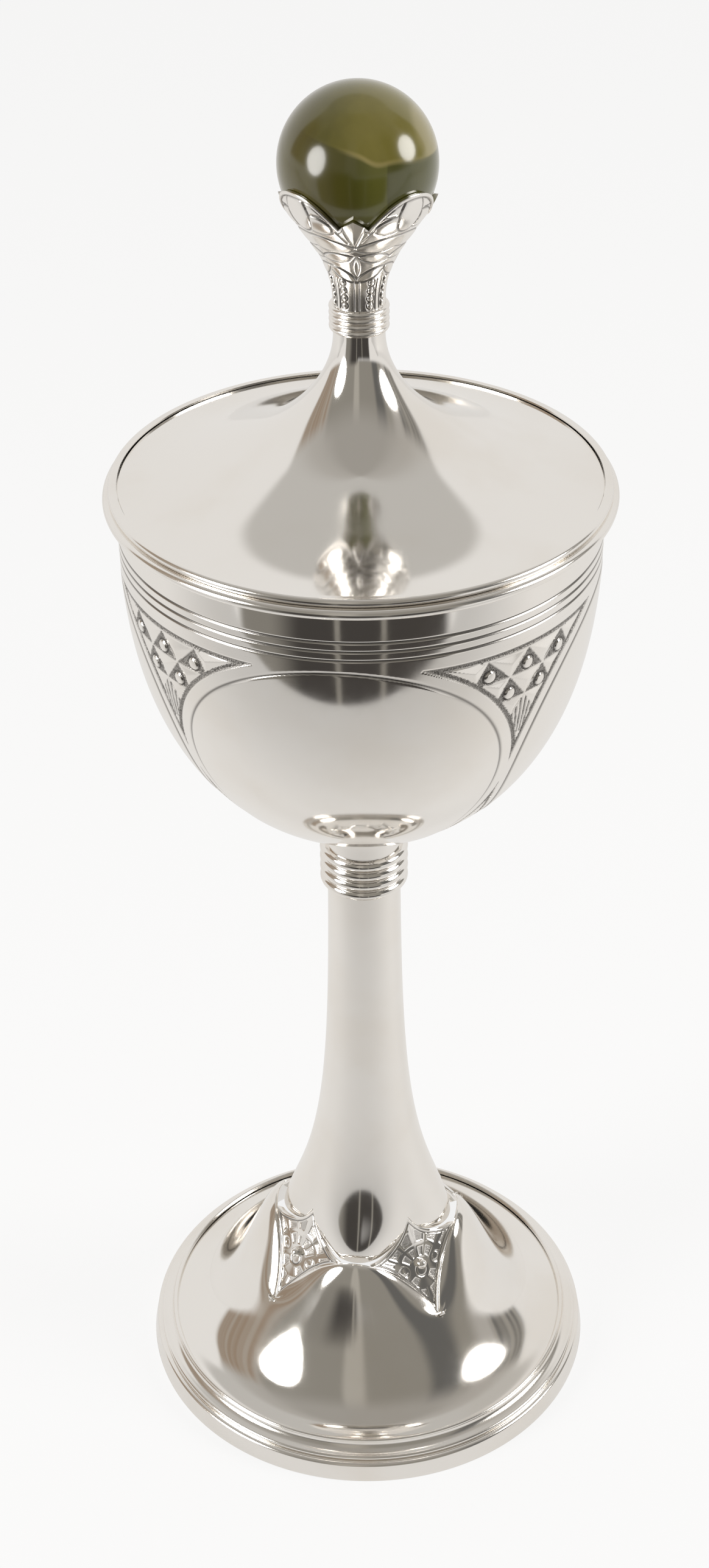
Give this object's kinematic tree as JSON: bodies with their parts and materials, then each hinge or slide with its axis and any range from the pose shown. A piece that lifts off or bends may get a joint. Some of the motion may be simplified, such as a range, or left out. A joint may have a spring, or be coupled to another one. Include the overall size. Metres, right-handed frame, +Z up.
{
  "type": "covered presentation goblet",
  "caption": "Covered silver presentation goblet: moulded domed foot, trumpet stem ending in tongues, reeded knop, chased bowl and lift-off lid with a stone ball in a calyx.",
  "frame": {"origin": "centre of the foot's underside, on the table", "axes": "+Z up along the goblet's axis; one tongue and the bare front medallion face -Y, the panels and petals stand at 45 degrees"},
  "size_m": [0.134, 0.134, 0.3975],
  "materials": {
    "polished_silver": "polished",
    "green_onyx": "polished",
    "brass": "satin"
  },
  "bodies": {
    "goblet": {"foot_band": "polished_silver", "foot_moulding": "polished_silver", "foot_dome": "polished_silver", "foot_panel_1": "polished_silver", "foot_panel_2": "polished_silver", "foot_panel_3": "polished_silver", "foot_panel_4": "polished_silver", "panel_beads": "polished_silver", "stem": "polished_silver", "tie_plate": "brass", "tie_washer": "brass", "tie_nut": "brass", "tie_rod": "brass", "knop": "polished_silver", "bowl_socket": "polished_silver", "bowl": "polished_silver", "bowl_rim": "polished_silver"},
    "lid": {"lid": "polished_silver", "lid_edge": "polished_silver", "lid_bezel": "polished_silver", "finial_collar": "polished_silver", "calyx": "polished_silver", "ball": "green_onyx", "finial_rod": "brass", "finial_washer": "brass", "finial_nut": "brass"}
  },
  "joints": [
    {"name": "lid_lift", "type": "slide", "parent": "goblet", "child": "lid", "axis": [0, 0, 1], "range_m": [0, 0.15]}
  ]
}
